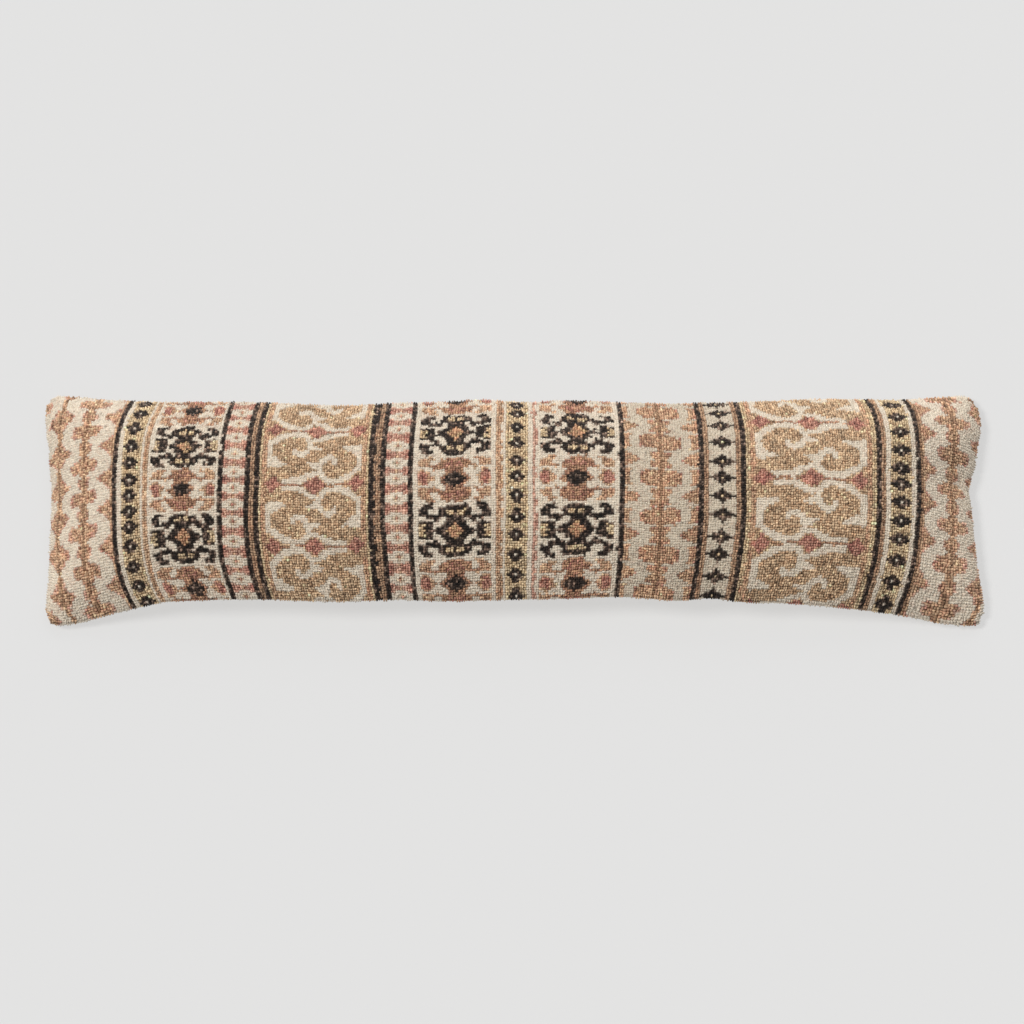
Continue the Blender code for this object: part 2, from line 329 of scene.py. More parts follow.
ROSETTE = (
    "po...",
    "o....",
    "...qq",
    "bqqqp",
    "qqqpp",
)
TREE = (
    "sbbbbbbbmccccbbb",
    "sbbbbbbmmccccbbm",
    "sbbbbbbbpccccbbb",
    "smbbbmmcccccbbbp",
    "sbcccccccccccccc",
    "smbpbcccccccccbb",
    "sbbbmcccccccmbbb",
    "sbbbccccccmbbbbb",
    "sbbccccccpbbbbbb",
)
END_TREE = (
    "sbbbbbqq......bs",
    "sbbbbbbq......bs",
    "sbbbbqq.......bs",
    "sbm..........qbs",
    "sb..........qbbs",
    "sbm........qbbbs",
    "sbbq.....qmbbbbs",
    "sbbq....qmbbbbbs",
)
# The size each chart is drawn for, in loops: how wide the band is and from one motif to the next.
CHARTS = {
    "dark_medallion": (DARK_MEDALLION, 29, 21),
    "brown_medallion": (BROWN_MEDALLION, 29, 21),
    "diamond": (DIAMOND, 8, 7),
    "spiked_diamond": (SPIKED_DIAMOND, 10, 8),
    "rosette": (ROSETTE, 9, 8),
    "tree": (TREE, 30, 16),
    "end_tree": (END_TREE, 30, 14),
}

# A scroll, in loops from its middle: x to the right and y upwards. Cream strokes outline it, each a
# chain of places with half the stroke's thickness there. The other half is the same turned about.
SCROLL_WIDTH = 52.4
SCROLL_REPEAT = 26.0
SCROLL_STROKES = {
    "upright": ((-21.1, 6.0, 1.3), (-21.1, -4.0, 1.3)),
    "foot": ((-20.0, -2.6, 2.5), (-16.9, -3.4, 1.5), (-13.4, -4.2, 0.5)),
    "shoulder": ((-21.1, 5.6, 1.3), (-18.3, 8.0, 1.4), (-14.4, 10.2, 1.4), (-10.4, 11.4, 1.4)),
    "arch": ((-10.4, 11.4, 1.4), (-6.2, 11.2, 1.3), (-3.6, 9.4, 1.3), (-2.5, 7.0, 1.3), (-2.5, 4.6, 1.3)),
    "spike": ((-2.2, 4.6, 1.9), (2.9, 3.6, 0.4)),
    "curl": ((-2.6, 4.0, 1.4), (-4.2, 1.8, 1.4), (-6.6, 0.6, 1.3), (-8.9, 1.3, 1.2), (-9.5, 3.1, 0.9)),
    "bar": (
        (-14.6, -11.3, 1.2), (-8.1, -11.6, 1.6), (-5.0, -10.2, 1.4), (-3.0, -8.8, 1.15), (0.4, -8.0, 1.1),
    ),
}
SCROLL_MARGIN = 22.6  # from here out the ground has its own shade
SCROLL_EDGE = 24.8  # and a paler one along the dark lines
LOZENGES = ((0.0, 5.4, 3.9), (-19.6, 4.2, 3.9), (19.6, 4.2, 3.9))  # place, half width, half height
LOZENGE_LINE = 0.5  # half the height of the line that joins the lozenges
LOZENGE_LINE_REACH = 17.0

# The pile is one sheet in four pieces, each from one of these columns to the next.
PILE_PIECES = (
    ("pile_left", FIRST_COLUMN),
    ("pile_left_middle", -107),
    ("pile_right_middle", -6),
    ("pile_right", 93),
)

BACK_INSET = 0.0012  # how far the plain cloth stays inside the loops at the seam
BACK_RIPPLE = 0.0011  # height of the small puckers along the seam
BACK_RIPPLE_LENGTH = 0.024
BACK_RIPPLE_REACH = 0.030
BACK_RIPPLE_DRIFT = 2.0  # how far the puckers get out of step, as an angle in radians
BACK_RIPPLE_CELL = 30.0  # over how many loops they do


# Shape of the filled pillow

def column(table, columns, name):
    """One named column of a table, as an array."""
    return np.array([row[columns.index(name)] for row in table])


def smooth_through(places, values, wanted):
    """A smooth curve through the values at the places, read at the wanted places."""
    slopes = np.gradient(values, places)
    wanted = np.clip(wanted, places[0], places[-1])
    left = np.clip(np.searchsorted(places, wanted, side="right") - 1, 0, len(places) - 2)
    gap = places[left + 1] - places[left]
    way = (wanted - places[left]) / gap
    rise = values[left + 1] - values[left]
    turn_in = slopes[left] * gap - rise
    turn_out = rise - slopes[left + 1] * gap
    return values[left] + way * rise + way * (1 - way) * ((1 - way) * turn_in + way * turn_out)


def long_seam(name, along):
    """A column of the long seams' table at places along the pillow."""
    places = column(LONG_SEAMS, LONG_SEAM_COLUMNS, "along")
    return smooth_through(places, column(LONG_SEAMS, LONG_SEAM_COLUMNS, name), along)


def end_seam(name, across):
    """A column of the end seams' table at places across the pillow."""
    places = column(END_SEAMS, END_SEAM_COLUMNS, "across")
    return smooth_through(places, column(END_SEAMS, END_SEAM_COLUMNS, name), across)


def corner_radius(lengthwise, across):
    """Rounding of the corner that each place is nearest to."""
    radius = np.zeros_like(lengthwise)
    for (end, side), size in CORNER_RADII.items():
        radius = np.where((np.sign(lengthwise) == end) & (np.sign(across) == side), size, radius)
    return radius


def corner_cut(past, radius):
    """How far a rounded corner draws an edge in, for a place that far past the rounding's start."""
    past = np.clip(past, 0.0, radius * np.sin(CORNER_REACH))
    return radius - np.sqrt(radius**2 - past**2)


def end_reach(lengthwise, across):
    """How far the nearer end seam lies from the pillow's middle, and the corner's rounding there."""
    reach = np.where(lengthwise < 0, end_seam("left", across), end_seam("right", across))
    radius = corner_radius(lengthwise, across)
    return reach, radius, reach - corner_cut((np.abs(across) - 1) * CORNER_ACROSS + radius, radius)


def plan(lengthwise, across):
    """Where the front panel's grid lies in plan, with each place's distance from its end seam."""
    reach, radius, end = end_reach(lengthwise, across)
    along = lengthwise * end
    half_width = long_seam("half_width", along)
    half_width = half_width - corner_cut(np.abs(along) - reach + radius, radius)
    side = across * half_width + long_seam("wander", along)
    return along, side, end - np.abs(along)


def crown_share(across, from_end):
    """1 on the middle line of the pillow, falling to 0 at the long seams."""
    near_end = np.clip(1 - from_end / FULLNESS_RUN, 0, 1)
    return 1 - np.abs(across) ** (CROWN_POWER + CORNER_FULLNESS * near_end)


def seam_height(along, across, from_end):
    """Height of the seams' middle, carried across the whole panel."""
    near_end = np.clip(1 - from_end / END_LIFT_RUN, 0, 1) ** 2
    return long_seam("height", along) + END_SEAM_LIFT * crown_share(across, from_end) * near_end


def fold_height(along, side):
    """Sum of the hollows and swells at places in plan."""
    total = np.zeros_like(along)
    for row in FOLDS:
        fold = dict(zip(FOLD_COLUMNS, row))
        heading = radians(fold["heading"])
        ahead = (along - fold["along"]) * cos(heading) + (side - fold["across"]) * sin(heading)
        beside = (side - fold["across"]) * cos(heading) - (along - fold["along"]) * sin(heading)
        spread = (ahead / fold["half_run"]) ** 2 + (beside / fold["half_width"]) ** 2
        total += fold["height"] * np.exp(-spread)
    return total


def front_height(along, side, across, from_end):
    """Height of the front panel."""
    run = np.where(along < 0, LEFT_RUN, RIGHT_RUN)
    climb = 1 - np.clip(1 - from_end / run, 0, 1) ** END_POWER
    end_height = CORNER_HEIGHT + END_SEAM_LIFT
    middle_line = end_height + (CROWN_TOP - SEAM_HALF_THICKNESS - end_height) * climb
    sides = long_seam("height", along)
    crown = np.maximum(middle_line - sides, 0) * crown_share(across, from_end)
    filled = np.maximum(sides + crown, seam_height(along, across, from_end))
    from_seams = np.minimum(from_end / FOLD_FADE, (1 - np.abs(across)) * CORNER_ACROSS / FOLD_FADE)
    return filled + SEAM_HALF_THICKNESS + np.clip(from_seams, 0, 1) * fold_height(along, side)


def back_height(along, across, from_end):
    """Height of the back panel: flat on the floor in the middle, lifting to the seams."""
    lift_side = np.clip((np.abs(across) - REST_SHARE) / (1 - REST_SHARE), 0, 1) ** UNDERSIDE_POWER
    lift_end = np.clip(1 - from_end / REST_END_RUN, 0, 1) ** UNDERSIDE_POWER
    lift = 1 - (1 - lift_side) * (1 - lift_end)
    return (seam_height(along, across, from_end) - SEAM_HALF_THICKNESS) * lift


# From the cloth's columns and rows to places on the pillow

def ease(share):
    """0 to 1 with soft ends."""
    share = np.clip(share, 0, 1)
    return share * share * (3 - 2 * share)


def middle_row_table():
    """How far along the pillow each column of the middle row lies."""
    stations = 2001
    lengthwise = np.linspace(-1, 1, stations)
    across = np.zeros_like(lengthwise)
    along, side, from_end = plan(lengthwise, across)
    height = front_height(along, side, across, from_end)
    steps = np.hypot(np.diff(along), np.diff(height))
    run = np.concatenate([[0.0], np.cumsum(steps)]) / PITCH
    middle = np.interp(0.0, along, run)
    return run - middle, along


def across_table():
    """For stations along the pillow and even steps of cloth across it, the place across."""
    stations, places = 401, 161
    lengthwise, across = np.meshgrid(np.linspace(-1, 1, stations), np.linspace(-1, 1, places), indexing="ij")
    along, side, from_end = plan(lengthwise, across)
    height = front_height(along, side, across, from_end)
    steps = np.hypot(np.diff(side, axis=1), np.diff(height, axis=1))
    run = np.concatenate([np.zeros((stations, 1)), np.cumsum(steps, axis=1)], axis=1)
    run = run / run[:, -1:]
    even = np.linspace(0, 1, places)
    return np.array([np.interp(even, run[i], across[i]) for i in range(stations)])


def look_up(table, lengthwise, share):
    """Read the table of places across, between its stations and steps."""
    i = (np.clip(lengthwise, -1, 1) + 1) / 2 * (table.shape[0] - 1)
    j = np.clip(share, 0, 1) * (table.shape[1] - 1)
    i0 = np.minimum(i.astype(int), table.shape[0] - 2)
    j0 = np.minimum(j.astype(int), table.shape[1] - 2)
    u, v = i - i0, j - j0
    low = table[i0, j0] * (1 - v) + table[i0, j0 + 1] * v
    high = table[i0 + 1, j0] * (1 - v) + table[i0 + 1, j0 + 1] * v
    return low * (1 - u) + high * u


def over_rim(loops):
    """For cloth that far from a rim, in loops: how far in it lies, in loops, and how upright."""
    turn = np.clip(loops * PITCH / RIM_RADIUS, 0, pi / 2)
    inward = np.where(turn < pi / 2, (1 - np.cos(turn)) * RIM_RADIUS / PITCH, loops - RIM_LOOPS)
    return inward, np.sin(turn)


def bow_at(middle, toward):
    """How far the columns bow, and the share of the bow that the loops lose near the end seams."""
    bow = np.zeros_like(middle)
    for (end, seam), (size, power) in BOWS.items():
        here = (np.sign(middle) == end) & (np.sign(toward) == seam)
        bow = np.where(here, size * np.abs(toward) ** power, bow)
    return bow, ease((np.abs(middle) - BOW_FADE_START) / (BOW_FADE_END - BOW_FADE_START))


def on_pillow(columns, rows):
    """Places in the pillow's own grid for places on the cloth, with how far each has turned over the rim."""
    run, along = middle_row_table()
    first = run[0] - RIM_LOOPS
    last = run[-1] + RIM_LOOPS
    spread = first + (columns - FIRST_COLUMN) * (last - first) / COLUMNS
    from_left, up_left = over_rim(spread - first)
    from_right, up_right = over_rim(last - spread)
    flat_columns = np.where(spread < 0, run[0] + from_left, run[-1] - from_right)

    total = ROWS_ON_TOP + 2 * RIM_LOOPS
    from_low, up_low = over_rim(rows * total / ROWS)
    from_high, up_high = over_rim((ROWS - rows) * total / ROWS)
    share = np.where(rows < ROWS / 2, from_low, ROWS_ON_TOP - from_high) / ROWS_ON_TOP
    upright = up_left * up_right * up_low * up_high

    middle = np.interp(flat_columns, run, along)
    table = across_table()
    bow, fade = bow_at(middle, share * 2 - 1)
    side = np.where(middle < 0, -1.0, 1.0)
    middle_end = np.where(middle < 0, -along[0], along[-1])
    across = look_up(table, middle / middle_end, share)
    for _ in range(BOW_ROUNDS):
        reach, radius, end = end_reach(side, across)
        bowed = np.abs(middle) * (1 - bow)
        straight = np.abs(middle) * end / middle_end
        lengthwise = side * (bowed * (1 - fade) + straight * fade) / end
        across = look_up(table, lengthwise, share)
    return lengthwise, across, upright


def front_points(columns, rows):
    """Places on the front panel's surface."""
    lengthwise, across, upright = on_pillow(columns, rows)
    along, side, from_end = plan(lengthwise, across)
    height = front_height(along, side, across, from_end) - RIM_RADIUS * (1 - upright)
    return np.stack([along, side, height], axis=-1)


def back_points(columns, rows):
    """Places on the back panel's surface, with small puckers where the seam gathers it."""
    lengthwise, across, upright = on_pillow(columns, rows)
    along, side, from_end = plan(lengthwise, across)
    height = back_height(along, across, from_end) + RIM_RADIUS * (1 - upright)
    from_side = (1 - np.abs(across)) * CORNER_ACROSS
    near = np.exp(-((from_side / BACK_RIPPLE_REACH) ** 2)) * upright
    drift = BACK_RIPPLE_DRIFT * wander(columns, rows * 0, BACK_RIPPLE_CELL, seed=31)
    wave = np.sin(along / BACK_RIPPLE_LENGTH * 2 * pi + drift)
    height = np.maximum(height + BACK_RIPPLE * near * wave * (np.abs(across) > REST_SHARE), 0)
    return np.stack([along, side, height], axis=-1)


NO_LENGTH = 1e-12  # stands in for a length of zero, which can't be divided by


def outward(points):
    """Directions straight out of a sheet's surface, for its grid of points."""
    along = np.gradient(points, axis=0)
    up = np.gradient(points, axis=1)
    out = np.cross(along, up)
    return out / np.maximum(np.linalg.norm(out, axis=-1, keepdims=True), NO_LENGTH)


# Unevenness

LATTICE = 512


def wander(columns, rows, cell, seed):
    """Smooth unevenness between -1 and 1 over the cloth, in patches about one cell across.

    Each use has a seed of its own, so that no two are alike.
    """
    lattice = np.random.default_rng(seed).uniform(-1, 1, (LATTICE, LATTICE))
    u, v = columns / cell + LATTICE / 2, rows / cell + LATTICE / 2
    i, j = np.floor(u).astype(int), np.floor(v).astype(int)
    fu, fv = ease(u - i), ease(v - j)
    i, j, i1, j1 = i % LATTICE, j % LATTICE, (i + 1) % LATTICE, (j + 1) % LATTICE
    low = lattice[i, j] * (1 - fu) + lattice[i1, j] * fu
    high = lattice[i, j1] * (1 - fu) + lattice[i1, j1] * fu
    return low * (1 - fv) + high * fv


# Pattern

def chart_letters(name, across, away, band):
    """A quarter chart's letters, at places in loops across and in motifs away from a motif's middle."""
    chart, width, repeat = CHARTS[name]
    letters = np.array([list(line) for line in chart])
    row = (np.abs(away) * repeat + 0.5).astype(int)
    place = (np.abs(across) * width / band["width"] + 0.5).astype(int)
    inside = (row < letters.shape[0]) & (place < letters.shape[1])
    found = letters[np.minimum(row, letters.shape[0] - 1), np.minimum(place, letters.shape[1] - 1)]
    return np.where(inside, found, " ")


def motif_places(across, rows, band):
    """How far each place lies from the nearest motif's middle, in motifs, and which motif that is."""
    middles = np.array(band["middles"])
    if band["slants"]:
        middles = middles + np.outer(across / band["width"], band["slants"])
    else:
        middles = np.broadcast_to(middles, across.shape + middles.shape)
    before = 2 * middles[..., :1] - middles[..., 1:2]
    after = 2 * middles[..., -1:] - middles[..., -2:-1]
    middles = np.concatenate([before, middles, after], axis=-1)
    below = np.clip((middles <= rows[..., None]).sum(axis=-1) - 1, 0, middles.shape[-1] - 2)
    low = np.take_along_axis(middles, below[..., None], axis=-1)[..., 0]
    high = np.take_along_axis(middles, below[..., None] + 1, axis=-1)[..., 0]
    turns = below - 1 + (rows - low) / (high - low)
    nearest = np.round(turns)
    return turns - nearest, nearest.astype(int)


def plain(letter):
    """A band of one wool."""
    return lambda across, rows, band: np.full(across.shape, letter)


def charted(name, ground):
    """A band of one charted motif on a plain ground."""
    def draw(across, rows, band):
        away, _ = motif_places(across, rows, band)
        letters = chart_letters(name, across, away, band)
        return np.where(letters == " ", ground, letters)
    return draw


def medallions(across, rows, band):
    """Brown and dark medallions in turn."""
    away, number = motif_places(across, rows, band)
    dark = chart_letters("dark_medallion", across, away, band)
    brown = chart_letters("brown_medallion", across, away, band)
    letters = np.where(number % 2 == 0, brown, dark)
    return np.where(letters == " ", ".", letters)


def in_stroke(x, y, chain):
    """True where a place lies on a stroke that runs through the chain's places."""
    inside = np.zeros(x.shape, bool)
    for (x0, y0, thick0), (x1, y1, thick1) in zip(chain, chain[1:]):
        run = np.clip(((x - x0) * (x1 - x0) + (y - y0) * (y1 - y0)) / ((x1 - x0) ** 2 + (y1 - y0) ** 2), 0, 1)
        away = np.hypot(x - x0 - run * (x1 - x0), y - y0 - run * (y1 - y0))
        inside |= away < thick0 + run * (thick1 - thick0)
    return inside


def scrolls(across, rows, band):
    """Great S scrolls outlined in cream, with rows of rose lozenges between them."""
    x = across * SCROLL_WIDTH / band["width"]
    away, number = motif_places(across, rows, band)
    away = away * SCROLL_REPEAT
    between = np.where(away > 0, away - SCROLL_REPEAT / 2, away + SCROLL_REPEAT / 2)
    scroll = np.where(away > 0, number, number - 1)
    y = np.where(scroll % 2 == 0, -between, between)
    letters = np.where(np.abs(x) > SCROLL_EDGE, "g", np.where(np.abs(x) > SCROLL_MARGIN, "b", "t"))
    for place, half_width, half_height in LOZENGES:
        inside = np.abs(x - place) / half_width + np.abs(away) / half_height < 1
        letters = np.where(inside, "p", letters)
    for chain in SCROLL_STROKES.values():
        letters = np.where(in_stroke(x, y, chain) | in_stroke(-x, -y, chain), ".", letters)
    line = (np.abs(away) < LOZENGE_LINE) & (np.abs(x) < LOZENGE_LINE_REACH)
    return np.where(line & (letters != "p"), "m", letters)


KINDS = {
    "dark": plain("K"),
    "cream": plain("."),
    "stripe": plain("w"),
    "brown_stripe": plain("n"),
    "rose_stripe": plain("q"),
    "gold_diamonds": charted("diamond", "g"),
    "cream_diamonds": charted("spiked_diamond", "c"),
    "medallions": medallions,
    "rosettes": charted("rosette", "q"),
    "scrolls": scrolls,
    "trees": charted("tree", "c"),
    "end_trees": charted("end_tree", "."),
}


def pattern():
    """The letter of the wool in every loop of the cloth."""
    columns, rows = np.meshgrid(FIRST_COLUMN + np.arange(COLUMNS) + 0.5, np.arange(ROWS) + 0.5, indexing="ij")
    run, along = middle_row_table()
    bow, fade = bow_at(np.interp(columns, run, along), rows / ROWS * 2 - 1)
    columns = columns * (1 + bow * fade)
    ragged = wander(columns, rows, RAGGED_CELL, seed=11)
    drifted = columns + BAND_RAGGEDNESS * ragged
    ragged_rows = rows + MOTIF_RAGGEDNESS * wander(columns, rows, RAGGED_CELL, seed=12)
    ragged_rows = ragged_rows + MOTIF_DRIFT * wander(columns, ragged_rows, MOTIF_DRIFT_CELL, seed=13)
    ragged_columns = columns + MOTIF_RAGGEDNESS * ragged
    starts = column(BANDS, BAND_COLUMNS, "start")
    ends = np.append(starts[1:], LAST_COLUMN)
    which = np.clip(np.searchsorted(starts, drifted, side="right") - 1, 0, len(BANDS) - 1)
    letters = np.full(columns.shape, ".")
    for number, row in enumerate(BANDS):
        band = dict(zip(BAND_COLUMNS, row))
        band["width"] = ends[number] - band["start"]
        inside = which == number
        neat = band["kind"] in NEAT_KINDS
        if neat:
            band["middles"] = np.floor(band["middles"]) + 0.5
        across = (columns if neat else ragged_columns)[inside] - band["start"] - band["width"] / 2
        up = (rows if neat else ragged_rows)[inside]
        letters[inside] = KINDS[band["kind"]](across, up, band)
    return letters


def dye_and_painted_shade(letters):
    """The colour of every loop's wool, linear, at its top and at its foot, where painted shade darkens it."""
    columns, rows = np.meshgrid(np.arange(letters.shape[0]), np.arange(letters.shape[1]), indexing="ij")
    spread = np.random.default_rng(seed=21)
    by_run = SHADE_BY_RUN * wander(columns, rows * SHADE_RUN_UP, SHADE_RUN, seed=22)
    shade = 0.5 + by_run + spread.uniform(-SHADE_BY_LOOP, SHADE_BY_LOOP, letters.shape)
    uneven = spread.normal(0, 1, letters.shape)
    for cell, seed in DYE_PATCHES:
        uneven = uneven + DYE_PATCHINESS * wander(columns, rows, cell, seed)
    tops = np.zeros(letters.shape + (3,))
    shaded_feet = np.zeros(letters.shape + (3,))
    for row in WOOLS:
        wool = dict(zip(WOOL_COLUMNS, row))
        second = (shade < wool["share"])[..., None]
        top = np.where(second, wool["second"], wool["main"])
        top = np.clip(top * np.exp(wool["unevenness"] * uneven)[..., None], *DYE_LIMITS)
        # painted shade: the wool is made deeper and darker between its loops, where shade falls
        foot = top ** (1 + PAINTED_SHADE_POWER * wool["depth"]) * (1 - PAINTED_SHADE_LOSS * wool["depth"])
        here = (letters == wool["letter"])[..., None]
        tops = np.where(here, top, tops)
        shaded_feet = np.where(here, foot, shaded_feet)
    return tops, shaded_feet


# Loops

def touching(values, i, j):
    """For every point of the sheet's grid, the mean of a value over the loops that touch it."""
    here_i = np.minimum(i // POINTS_PER_LOOP, COLUMNS - 1)
    here_j = np.minimum(j // POINTS_PER_LOOP, ROWS - 1)
    before_i = np.where(i % POINTS_PER_LOOP == 0, np.maximum(i // POINTS_PER_LOOP - 1, 0), here_i)
    before_j = np.where(j % POINTS_PER_LOOP == 0, np.maximum(j // POINTS_PER_LOOP - 1, 0), here_j)
    around = values[here_i, here_j] + values[before_i, here_j]
    around = around + values[here_i, before_j] + values[before_i, before_j]
    return around / 4


def inside_edges(columns, rows, margin):
    """0 at the cloth's edges, rising to 1 that many loops inside them."""
    inside = ease((columns - FIRST_COLUMN) / margin) * ease((FIRST_COLUMN + COLUMNS - columns) / margin)
    return inside * ease(rows / margin) * ease((ROWS - rows) / margin)


def loop_relief():
    """Every point of the sheet's grid: its column and row, and how high it stands in loops' heights."""
    points = POINTS_PER_LOOP
    i, j = np.meshgrid(np.arange(COLUMNS * points + 1), np.arange(ROWS * points + 1), indexing="ij")
    u, v = i % points, j % points
    loop_i = np.minimum(i // points, COLUMNS - 1)
    loop_j = np.minimum(j // points, ROWS - 1)
    on_top = (u > 0) & (v > 0)

    spread = np.random.default_rng(seed=41)
    shape = (COLUMNS, ROWS)
    own = OWN_UNEVENNESS * spread.normal(0, 1, shape)
    shared = SHARED_UNEVENNESS * wander(*np.indices(shape), SHARED_CELL, seed=42)
    height = np.clip(1 + LOOP_UNEVENNESS * (own + shared), *LOOP_HEIGHTS)
    height = np.where(spread.uniform(0, 1, shape) < LOW_LOOPS, LOW_LOOP_HEIGHT, height)
    lean = LOOP_LEAN * spread.uniform(-1, 1, shape + (2,))
    shift = LOOP_SHIFT * spread.uniform(-1, 1, shape + (2,))
    skew = LOOP_SKEW * spread.uniform(-1, 1, i.shape + (2,))
    valley = VALLEY_RISE + VALLEY_UNEVENNESS * spread.uniform(-1, 1, shape + (2,))

    shoulder = np.array([0.0, LOOP_SHOULDER, 1 - LOOP_SHOULDER])
    side_u, side_v = np.where(u == 1, -1, 1), np.where(v == 1, -1, 1)
    tilt = lean[loop_i, loop_j, 0] * side_u + lean[loop_i, loop_j, 1] * side_v
    between_two = np.where(u > 0, valley[loop_i, loop_j, 0], valley[loop_i, loop_j, 1])
    between_two = np.where((u > 0) != (v > 0), np.maximum(between_two, 0), 0)
    relief = np.where(on_top, height[loop_i, loop_j] * (1 + tilt), between_two)

    columns = FIRST_COLUMN + i // points + shoulder[u]
    rows = j // points + shoulder[v]
    loose = inside_edges(columns, rows, SHIFT_MARGIN)
    columns = columns + loose * (touching(shift[..., 0], i, j) + np.where(on_top, skew[..., 0], 0))
    rows = rows + loose * (touching(shift[..., 1], i, j) + np.where(on_top, skew[..., 1], 0))

    drift = CLOTH_DRIFT * inside_edges(columns, rows, CLOTH_DRIFT_MARGIN)
    moved = columns + drift * wander(columns, rows, CLOTH_DRIFT_CELL, seed=43)
    rows = rows + drift * wander(columns, rows, CLOTH_DRIFT_CELL, seed=44)
    return moved, rows, relief


def grid_faces(lines, levels):
    """Corner numbers of a grid's faces, anticlockwise from outside."""
    number = np.arange(lines * levels).reshape(lines, levels)
    corners = [number[:-1, :-1], number[1:, :-1], number[1:, 1:], number[:-1, 1:]]
    return np.stack(corners, axis=-1).reshape(-1, 4)


def new_mesh(name, points, faces):
    """A mesh of four-sided faces, shaded smooth."""
    mesh = bpy.data.meshes.new(name)
    mesh.vertices.add(len(points))
    mesh.vertices.foreach_set("co", points.astype(np.float32).ravel())
    mesh.loops.add(faces.size)
    mesh.loops.foreach_set("vertex_index", faces.astype(np.int32).ravel())
    mesh.polygons.add(len(faces))
    mesh.polygons.foreach_set("loop_start", np.arange(0, faces.size, 4, dtype=np.int32))
    mesh.update(calc_edges=True)
    mesh.validate()
    mesh.shade_smooth()
    return mesh


def add_piece(name, mesh, material):
    """Put a piece of the pillow into the scene."""
    mesh.materials.append(material)
    piece = bpy.data.objects.new(name, mesh)
    bpy.context.collection.objects.link(piece)
    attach(piece, "root")
    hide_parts("pillow")
    return piece


def loop_colours(relief):
    """Every point's colour of wool, painted deeper in shade the lower it stands, and blended where loops
    meet.
    """
    i, j = np.indices(relief.shape)
    tops, shaded_feet = dye_and_painted_shade(pattern())
    lit = ease(relief / TOP_SHADE_FROM)[..., None]
    return touching(shaded_feet, i, j) * (1 - lit) + touching(tops, i, j) * lit


def paint(mesh, colours):
    """Give each point of a piece its colour, painted shade between the loops included."""
    wool = np.concatenate([colours, np.ones((len(colours), 1))], axis=-1)
    layer = mesh.color_attributes.new("wool", "FLOAT_COLOR", "POINT")
    layer.data.foreach_set("color", wool.astype(np.float32).ravel())


def lay_out(mesh, across, up):
    """Lay the piece out flat, as it came off the loom, with a place for each corner of its faces."""
    flat = np.stack([across, up], axis=-1)
    mesh.uv_layers.new(name="OFBake").data.foreach_set("uv", flat.astype(np.float32).ravel())


def make_pile(wool):
    """The looped sheet, in its four pieces."""
    columns, rows, relief = loop_relief()
    surface = front_points(columns, rows)
    _, _, upright = on_pillow(columns, rows)
    rise = LOOP_HEIGHT * relief - GROUND_DEPTH + SEAM_FULLNESS * (1 - upright)
    points = surface + outward(surface) * rise[..., None]
    colours = loop_colours(relief)

    starts = [start for _, start in PILE_PIECES] + [FIRST_COLUMN + COLUMNS]
    for (name, start), end in zip(PILE_PIECES, starts[1:]):
        low = (start - FIRST_COLUMN) * POINTS_PER_LOOP
        high = (end - FIRST_COLUMN) * POINTS_PER_LOOP
        part = points[low:high + 1]
        lines, levels = part.shape[:2]
        faces = grid_faces(lines, levels)
        mesh = new_mesh(name, part.reshape(-1, 3), faces)
        paint(mesh, colours[low:high + 1].reshape(-1, 3))
        i, j = np.divmod(faces.ravel(), levels)
        lay_out(mesh, i / (lines - 1), j / (levels - 1))
        add_piece(name, mesh, wool)


# The cover under the pile and the plain back

def make_cover(cloth):
    """The closed cover: the ground that the loops stand on, the seam and the plain back."""
    every_column = FIRST_COLUMN + np.linspace(0, COLUMNS, COLUMNS + 1)
    every_row = np.linspace(0, ROWS, ROWS + 1)
    columns, rows = np.meshgrid(every_column, every_row, indexing="ij")
    front = front_points(columns, rows)
    back = back_points(columns, rows)
    _, _, upright = on_pillow(columns, rows)
    front = front - outward(front) * (GROUND_DEPTH + BACK_INSET * upright)[..., None]
    inset = BACK_INSET * (1 - upright)
    back = back + outward(back) * inset[..., None]
    border = np.zeros(columns.shape, bool)
    border[[0, -1], :] = True
    border[:, [0, -1]] = True
    back[border] = front[border]

    lines, levels = columns.shape
    faces = grid_faces(lines, levels)
    below = np.arange(columns.size).reshape(columns.shape) + columns.size
    below[border] -= columns.size
    faces = np.concatenate([faces, below.ravel()[faces[:, ::-1]]])
    used, numbers = np.unique(faces, return_inverse=True)
    points = np.concatenate([front.reshape(-1, 3), back.reshape(-1, 3)])[used]
    mesh = new_mesh("cover", points, numbers.reshape(faces.shape))
    i, j = np.divmod(faces.ravel() % columns.size, levels)
    on_back = np.arange(faces.size) >= faces.size / 2
    lay_out(mesh, i / (lines - 1), (j / (levels - 1) + on_back) / 2)
    cover = add_piece("cover", mesh, cloth)


# Materials

class Link:
    """A number, colour or vector on its way through a material, to be used in sums."""

    def __init__(self, recipe, socket):
        self.recipe = recipe
        self.socket = socket

    def sum_with(self, operation, other):
        """Work out this and another number in a Math node."""
        return self.recipe.node("ShaderNodeMath", {"operation": operation}, {0: self, 1: other})

    def __add__(self, other):
        return self.sum_with("ADD", other)

    def __mul__(self, other):
        return self.sum_with("MULTIPLY", other)

    __radd__ = __add__
    __rmul__ = __mul__


